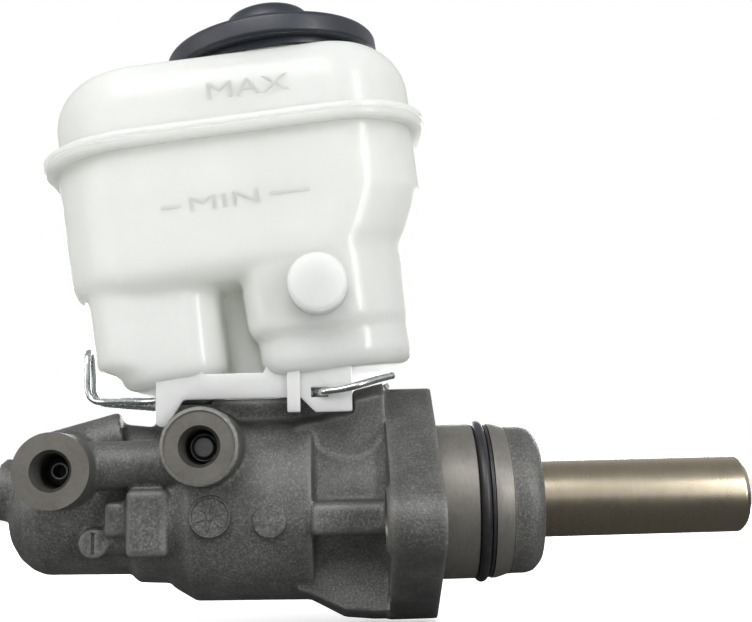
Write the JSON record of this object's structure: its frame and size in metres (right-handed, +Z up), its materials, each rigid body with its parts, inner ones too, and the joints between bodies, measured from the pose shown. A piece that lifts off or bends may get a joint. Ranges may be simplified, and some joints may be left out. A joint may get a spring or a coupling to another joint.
{
  "type": "brake master cylinder",
  "caption": "Tandem brake master cylinder: cast body with flange and side outlet ports, plunger piston, and a tilted translucent fluid reservoir with a knobbed cap.",
  "frame": {"origin": "on the bore axis, in the plane of the flange's rear face, which meets the brake booster", "axes": "+X along the bore towards the push-rod end, +Z up towards the reservoir, outlet ports facing -Y"},
  "size_m": [0.2337, 0.1128, 0.1988],
  "materials": {
    "cast_aluminium": "rough cast, dark",
    "anodised_aluminium": "polished hard anodised",
    "bright_steel": "bright zinc plated",
    "brass": "satin",
    "black_rubber": "matt",
    "translucent_plastic": "translucent natural white",
    "black_plastic": "satin",
    "float_plastic": "matt foam"
  },
  "bodies": {
    "casting": {"cylinder_body": "cast_aluminium", "secondary_spring_seat": "bright_steel", "secondary_return_spring": "bright_steel", "snap_ring": "bright_steel", "rear_outlet_seat": "bright_steel", "front_outlet_seat": "bright_steel", "reservoir_clip": "bright_steel", "switch_pin_front": "brass", "switch_pin_rear": "brass", "primary_pressure_cup": "black_rubber", "separating_cup": "black_rubber", "secondary_pressure_cup": "black_rubber", "vacuum_seal": "black_rubber", "booster_o_ring": "black_rubber", "front_inlet_grommet": "black_rubber", "rear_inlet_grommet": "black_rubber", "reservoir_lower": "translucent_plastic", "reservoir_upper": "translucent_plastic", "fluid_strainer": "translucent_plastic", "level_switch": "black_plastic", "piston_guide": "black_plastic", "backup_ring": "black_plastic"},
    "primary_plunger": {"primary_piston": "anodised_aluminium", "primary_spring_stem": "bright_steel"},
    "secondary_plunger": {"secondary_piston": "anodised_aluminium", "primary_spring_retainer": "bright_steel", "primary_return_spring": "bright_steel"},
    "cap_seal": {"cap_diaphragm": "black_rubber"},
    "cap": {"reservoir_cap": "black_plastic"},
    "float": {"level_float": "float_plastic", "float_magnet": "bright_steel"}
  },
  "joints": [
    {"name": "primary_stroke", "type": "slide", "parent": "casting", "child": "primary_plunger", "axis": [-1, 0, 0], "range_m": [0, 0.03], "stiffness_N_per_m": 3000, "springref_m": -0.02, "deforming": ["primary_return_spring"]},
    {"name": "secondary_stroke", "type": "slide", "parent": "casting", "child": "secondary_plunger", "axis": [-1, 0, 0], "range_m": [0, 0.015], "deforming": ["secondary_return_spring"]},
    {"name": "cap_lift", "type": "slide", "parent": "casting", "child": "cap_seal", "axis": [-0.1219, 0, 0.9925], "range_m": [0, 0.045]},
    {"name": "cap_turn", "type": "hinge", "parent": "cap_seal", "child": "cap", "pos_m": [-0.04835, 0, 0.14519], "axis": [-0.1219, 0, 0.9925], "range_deg": [0, 120]},
    {"name": "float_rise", "type": "slide", "parent": "casting", "child": "float", "axis": [-0.1219, 0, 0.9925], "range_m": [0, 0.014]}
  ],
  "couplings": [
    {"joint": "secondary_stroke", "follows": "primary_stroke", "ratio": 0.5}
  ]
}
